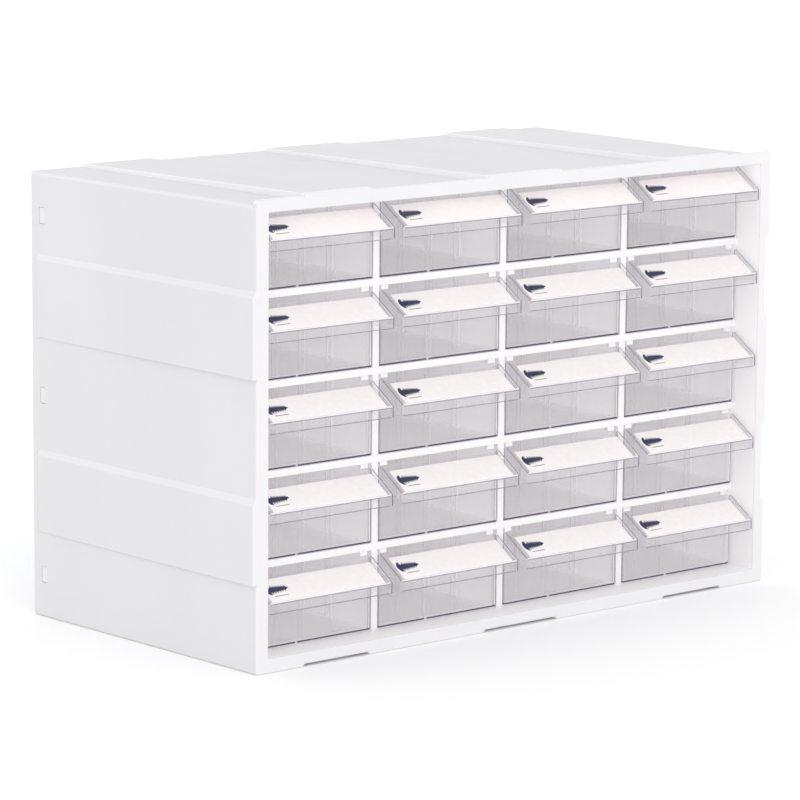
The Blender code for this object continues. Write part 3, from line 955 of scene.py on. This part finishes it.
def pull_painted_edge_slot(middle):
    """Slot on the pull: painted dark shade and a highlight on the right border, painted grey shade on
    the left border, and a painted highlight and grey shade lines along the lip.
    """
    above = middle.z - pull_height(-middle.y)
    if abs(middle.x) > PULL_HALF - PULL_BORDER - 0.02 * MM:
        if middle.x > BORDER_SPLIT and (above > 0.05 * MM or middle.y < -PULL_RUN + 0.4 * MM):
            return 1
        if above > 0.62 * MM:
            return 3 if middle.x > 0 else 2
        return 0
    if middle.y > -PULL_RUN + 1.3 * MM:
        return 0
    lip_top = pull_height(PULL_RUN)
    if middle.z > lip_top + LIP_CREST:
        return 3
    if middle.z > lip_top - LIP_UNDER or middle.z < lip_top - PULL_LIP + LIP_FOOT:
        return 2
    return 0


def drawer_painted_edge_slot(middle):
    """Slot of a drawer face: 0 clear, 1 painted dark shade, 2 painted grey shade, 3 painted highlight.
    """
    if middle.y < -0.6 * MM:
        return pull_painted_edge_slot(middle)
    if -0.05 * MM < middle.y < 2.2 * MM:
        return front_painted_edge_slot(middle)
    # Ribs beside the side walls get a painted highlight.
    wall = DRAWER_HALF - TRAY_WALL
    beside_wall = wall - 1.7 * MM < abs(middle.x) < wall - 0.05 * MM
    among_ribs = RIB_ZONE[0] < middle.y < RIB_ZONE[1]
    between_ends = DRAWER_LOW + 2.0 * MM < middle.z < EAR_HEIGHTS[0]
    return 3 if beside_wall and among_ribs and between_ends else 0


def paint_edges(mesh):
    """Paints shade lines and highlights onto thin edges, for the look of light caught in cut-through
    plastic.
    """
    shape = bmesh.new()
    shape.from_mesh(mesh)
    breadths = [*EDGE_BREAK, BORDER_SPLIT]
    breadths += [side * (DRAWER_HALF - step * SIDE_LINE) for side in (-1, 1) for step in (1, 2)]
    for breadth in breadths:
        cut_across(shape, (breadth, 0.0, 0.0), (1.0, 0.0, 0.0))
    lip_top = pull_height(PULL_RUN)
    for height in (
        DRAWER_LOW + EDGE_LINE,
        lip_top + LIP_CREST,
        lip_top - LIP_UNDER,
        lip_top - PULL_LIP + LIP_FOOT,
    ):
        cut_across(shape, (0.0, 0.0, height), (0.0, 0.0, 1.0))
    for face in shape.faces:
        face.material_index = drawer_painted_edge_slot(face.calc_center_median())
    shape.to_mesh(mesh)
    shape.free()


def build_drawer_mesh(slot_materials):
    outer, inner = tray_shapes()
    tray = merged("tray", outer, removed=[inner])
    base = bmesh.new()
    base.from_mesh(tray.data)
    bpy.data.objects.remove(tray, do_unlink=True)
    additions = pull_shapes() + rib_shapes() + ear_shapes()
    drawer = merged("drawer_form", base, added=additions, materials=slot_materials[:1])
    mesh = drawer.data
    bpy.data.objects.remove(drawer, do_unlink=True)
    # The painted shade and painted highlight materials for the drawer's edges.
    for painted_edge_material in slot_materials[1:]:
        mesh.materials.append(painted_edge_material)
    paint_edges(mesh)
    return mesh


# ---------------------------------------------------------------- label cards


def flat_shape(points, thickness):
    """A thin prism with an outline of (x, y) points, standing on z = 0."""
    shape = bmesh.new()
    face = shape.faces.new([shape.verts.new((x, y, 0.0)) for x, y in points])
    grown = bmesh.ops.extrude_face_region(shape, geom=[face])
    top = [item for item in grown["geom"] if isinstance(item, bmesh.types.BMVert)]
    bmesh.ops.translate(shape, verts=top, vec=(0.0, 0.0, thickness))
    bmesh.ops.recalc_face_normals(shape, faces=shape.faces)
    return shape


def screw_outline(x, y):
    """A screw lying along x: a domed head, then a tapering toothed shank that ends in a point."""
    head_long = 3.4 * MM
    head_half = 4.4 * MM
    root = 2.0 * MM
    crest = 3.7 * MM
    pitch = 2.0 * MM
    teeth = 6
    taper = 0.45
    shank = 14.6 * MM
    arc_steps = 12
    tooth_form = ((0.0, root), (0.45 * MM, crest), (0.95 * MM, crest), (1.4 * MM, root))
    under_head = x + head_long
    points = []
    for step in range(arc_steps + 1):
        turn = math.pi * (0.5 + step / arc_steps)
        points.append((under_head + head_long * math.cos(turn), y + head_half * math.sin(turn)))
    edges = []
    for side, shift in ((-1, 0.5 * MM), (1, 1.3 * MM)):
        edge = [(under_head, y + side * root)]
        for tooth in range(teeth):
            start = under_head + shift + tooth * pitch
            share = 1.0 - taper * tooth / teeth
            for along, height in tooth_form:
                edge.append((start + along, y + side * height * share))
        edges.append(edge)
    tip = (under_head + shank, y)
    return points + edges[0] + [tip] + edges[1][::-1]


def mark_shapes():
    """A plain hardware symbol: a screw over a thin rule."""
    rule_low = -4.9 * MM
    rule_high = -4.45 * MM
    screw = flat_shape(screw_outline(1.0 * MM, 0.9 * MM), INK_THICK)
    start = 5.0 * MM
    end = 15.5 * MM
    rule = flat_shape(
        [(start, rule_low), (end, rule_low), (end, rule_high), (start, rule_high)],
        INK_THICK,
    )
    return [screw, rule]


def build_card_mesh(paper, ink):
    """A card in its own frame: x along its length from its left end, y up the slope, z off it."""
    outline = rounded_rectangle(0.0, -CARD_HALF, CARD_LENGTH, CARD_HALF, 0.35 * MM, 2)
    card = bmesh.new()
    blank = flat_shape(outline, CARD_THICK)
    mesh = bpy.data.meshes.new("card_part")
    blank.to_mesh(mesh)
    blank.free()
    card.from_mesh(mesh)
    for index in range(1, CARD_STRIPS):
        cut_across(card, (CARD_LENGTH * index / CARD_STRIPS, 0.0, 0.0), (1.0, 0.0, 0.0))
    for shape in mark_shapes():
        bmesh.ops.translate(shape, verts=shape.verts, vec=(0.0, 0.0, CARD_THICK - INK_SINK))
        for face in shape.faces:
            face.material_index = 1
        part = bpy.data.meshes.new("card_part")
        shape.to_mesh(part)
        shape.free()
        card.from_mesh(part)
    for vertex in card.verts:
        along = vertex.co.x / CARD_LENGTH
        vertex.co.z += CARD_BOW * math.sin(math.pi * along) * math.sin(math.pi * along)
    result = bpy.data.meshes.new("card_form")
    card.to_mesh(result)
    card.free()
    result.materials.append(paper)
    result.materials.append(ink)
    result.shade_smooth()
    result.set_sharp_from_angle(angle=SHARP_ANGLE)
    return result


def card_place(slide_x, slide_z, slip, skew, lift):
    """Where a card lies on a pull: slip along the drawer's width, skew in its own plane."""
    slope = Vector((0.0, PULL_RUN, PULL_FALL)).normalized()
    across = Vector((1.0, 0.0, 0.0))
    normal = across.cross(slope)
    start = slide_x - CARD_LENGTH / 2 + slip
    centre = Vector((start, LATTICE - CARD_RUN, slide_z + pull_height(CARD_RUN)))
    centre += normal * (0.06 * MM) + slope * lift
    turn = Matrix((across, slope, normal)).transposed().to_4x4()
    return Matrix.Translation(centre) @ turn @ Matrix.Rotation(skew, 4, "Z")


def build_drawers(slot_materials, paper, ink):
    drawer_mesh = build_drawer_mesh(slot_materials)
    card_mesh = build_card_mesh(paper, ink)
    for row in range(1, ROWS + 1):
        for column in range(1, COLUMNS + 1):
            key = f"r{row}_c{column}"
            low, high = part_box(f"drawer_{key}")
            middle = (low.x + high.x) / 2
            base = low.z - DRAWER_LOW
            drawer = bpy.data.objects.new(f"clear_drawer_{key}", drawer_mesh)
            drawer.location = (middle, LATTICE, base)
            bpy.context.scene.collection.objects.link(drawer)
            modifier = drawer.modifiers.new("weighted_normals", "WEIGHTED_NORMAL")
            modifier.keep_sharp = True
            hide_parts(f"drawer_{key}")
            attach(drawer, f"drawer_{key}")
            wave = math.sin(3.1 * row + 1.7 * column)
            other = math.sin(1.3 * row - 2.9 * column + 0.6)
            card = bpy.data.objects.new(f"paper_card_{key}", card_mesh)
            card.matrix_world = card_place(
                middle, base, 0.5 * MM * wave, math.radians(0.12) * other, 0.25 * MM * other
            )
            bpy.context.scene.collection.objects.link(card)
            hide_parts(f"label_card_{key}")
            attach(card, f"drawer_{key}")


# ---------------------------------------------------------------- stage


def build_floor():
    shape = bmesh.new()
    bmesh.ops.create_grid(shape, x_segments=2, y_segments=2, size=12.0)
    floor = to_object("floor", shape, [], smooth=False)
    material, _, shader = new_material("pale_floor")
    shader.inputs["Base Color"].default_value = (0.98, 0.98, 0.98, 1.0)
    shader.inputs["Roughness"].default_value = 0.9
    shader.inputs["Specular IOR Level"].default_value = 0.0
    floor.data.materials.append(material)


def build_lights():
    world = bpy.data.worlds.new("studio")
    bpy.context.scene.world = world
    world.use_nodes = True
    background = world.node_tree.nodes["Background"]
    background.inputs["Color"].default_value = (0.985, 0.99, 1.0, 1.0)
    background.inputs["Strength"].default_value = 1.06
    lamp = bpy.data.lights.new("broad_key", "SUN")
    lamp.energy = 0.9
    lamp.angle = math.radians(50.0)
    lamp.color = (1.0, 0.985, 0.975)
    key = bpy.data.objects.new("broad_key", lamp)
    key.rotation_euler = Vector((0.424, 0.888, -0.181)).to_track_quat("-Z", "Y").to_euler()
    bpy.context.scene.collection.objects.link(key)
    scene = bpy.context.scene
    scene.view_settings.view_transform = "Standard"
    scene.cycles.max_bounces = 16
    scene.cycles.diffuse_bounces = 8
    scene.cycles.transparent_max_bounces = 32


def build_camera():
    lens = bpy.data.cameras.new("camera")
    lens.sensor_width = 36.0
    lens.lens = 194.395
    lens.shift_x = -0.0578
    lens.shift_y = 0.0715
    lens.clip_end = 100.0
    camera = bpy.data.objects.new("camera", lens)
    right = Vector((0.745451, -0.666498, 0.009162))
    up = Vector((0.113500, 0.140465, 0.983558))
    back = Vector((-0.656827, -0.732154, 0.180357))
    corner = Vector((CASE_LEFT, FRONT, 0.0))
    place = Vector((-1.6195, -1.9754, 0.6040)) + corner
    camera.matrix_world = Matrix.Translation(place) @ Matrix((right, up, back)).transposed().to_4x4()
    bpy.context.scene.collection.objects.link(camera)
    bpy.context.scene.camera = camera


def main():
    shell_plastic = moulded_plastic(
        "shell_plastic", (0.69, 0.685, 0.70), (0.715, 0.71, 0.725), rough=0.55, grain=0.25, specular=0.22
    )
    # The rack's own white, also a painted highlight on the shell's rim top and the steps of its tabs.
    rack_plastic = moulded_plastic(
        "rack_plastic", (0.83, 0.815, 0.825), (0.86, 0.845, 0.855), rough=0.38, grain=0.12
    )
    # A lighter copy of the shell plastic: painted highlight on soft edges, shoulders and hook heads.
    painted_highlight_plastic = moulded_plastic(
        "painted_highlight_plastic", (0.735, 0.73, 0.737), (0.755, 0.75, 0.757), rough=0.45, grain=0.15, specular=0.3
    )
    # A brighter, glowing copy of the plastic for the mouth: painted light.
    mouth_lit_glow_plastic = moulded_plastic(
        "mouth_lit_glow_plastic", (0.90, 0.885, 0.89), (0.92, 0.905, 0.91), rough=0.38, grain=0.12, glow=0.06
    )
    # A brighter, glowing copy of the plastic for the walls behind the bars: painted light.
    deep_lit_glow_plastic = moulded_plastic(
        "deep_lit_glow_plastic", (0.90, 0.89, 0.89), (0.93, 0.92, 0.92), rough=0.38, grain=0.12, glow=0.122
    )
    clear = clear_plastic(
        "clear_polystyrene", (0.994, 0.992, 0.995), (0.92, 0.91, 0.92), haze=0.028, rough=0.05
    )
    # Painted dark shade on the drawers' thin edges.
    painted_dark_edge = clear_plastic(
        "polystyrene_painted_dark_edge", (0.30, 0.25, 0.34), (0.06, 0.045, 0.09), haze=0.7, rough=0.1
    )
    # Painted grey shade on the drawers' thin edges.
    painted_grey_edge = clear_plastic(
        "polystyrene_painted_grey_edge", (0.68, 0.64, 0.70), (0.38, 0.35, 0.41), haze=0.45, rough=0.08
    )
    # Painted highlight on the drawers' thin edges.
    painted_bright_edge = clear_plastic(
        "polystyrene_glint", (0.97, 0.97, 0.98), (0.95, 0.95, 0.96), haze=0.65, rough=0.05
    )
    paper = card_paper("card_paper")
    ink = printed_ink("printed_ink")
    build_shell([shell_plastic, rack_plastic, mouth_lit_glow_plastic, deep_lit_glow_plastic, painted_highlight_plastic])
    build_rack([rack_plastic, deep_lit_glow_plastic])
    build_cover([shell_plastic, painted_highlight_plastic])
    build_drawers([clear, painted_dark_edge, painted_grey_edge, painted_bright_edge], paper, ink)
    build_floor()
    build_lights()
    build_camera()


main()
